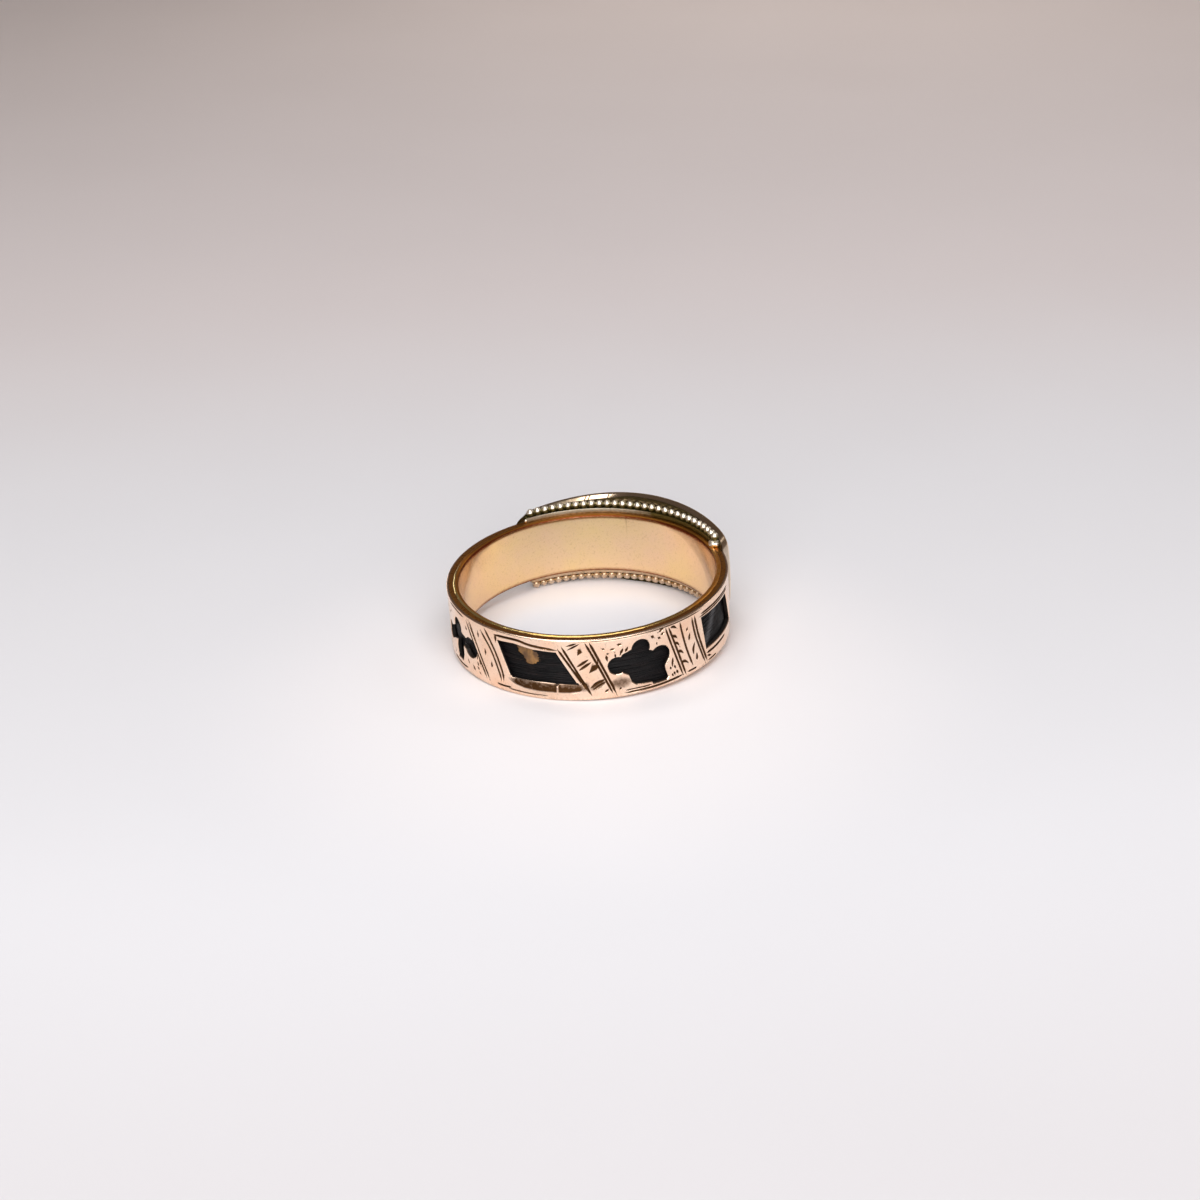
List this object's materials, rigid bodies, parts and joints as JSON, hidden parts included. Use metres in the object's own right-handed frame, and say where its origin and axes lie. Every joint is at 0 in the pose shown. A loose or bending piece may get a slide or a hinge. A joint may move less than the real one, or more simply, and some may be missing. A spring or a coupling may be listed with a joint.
{
  "type": "mourning ring",
  "caption": "Gold mourning ring: a liner sleeve, a band of dark hair and a pierced outer band with clubs and slanted windows, with a boat-shaped head edged by beaded wires.",
  "frame": {"origin": "on the axis of the finger bore, in the middle of the band's width", "axes": "+Z along the finger bore, the head faces -Y, the back of the band is at +Y"},
  "size_m": [0.019, 0.02, 0.0068],
  "materials": {
    "liner_gold": "polished",
    "band_gold": "polished",
    "hair": "satin"
  },
  "bodies": {
    "root": {"liner_sleeve": "liner_gold", "hair_band": "hair", "pierced_band": "band_gold"}
  },
  "joints": []
}
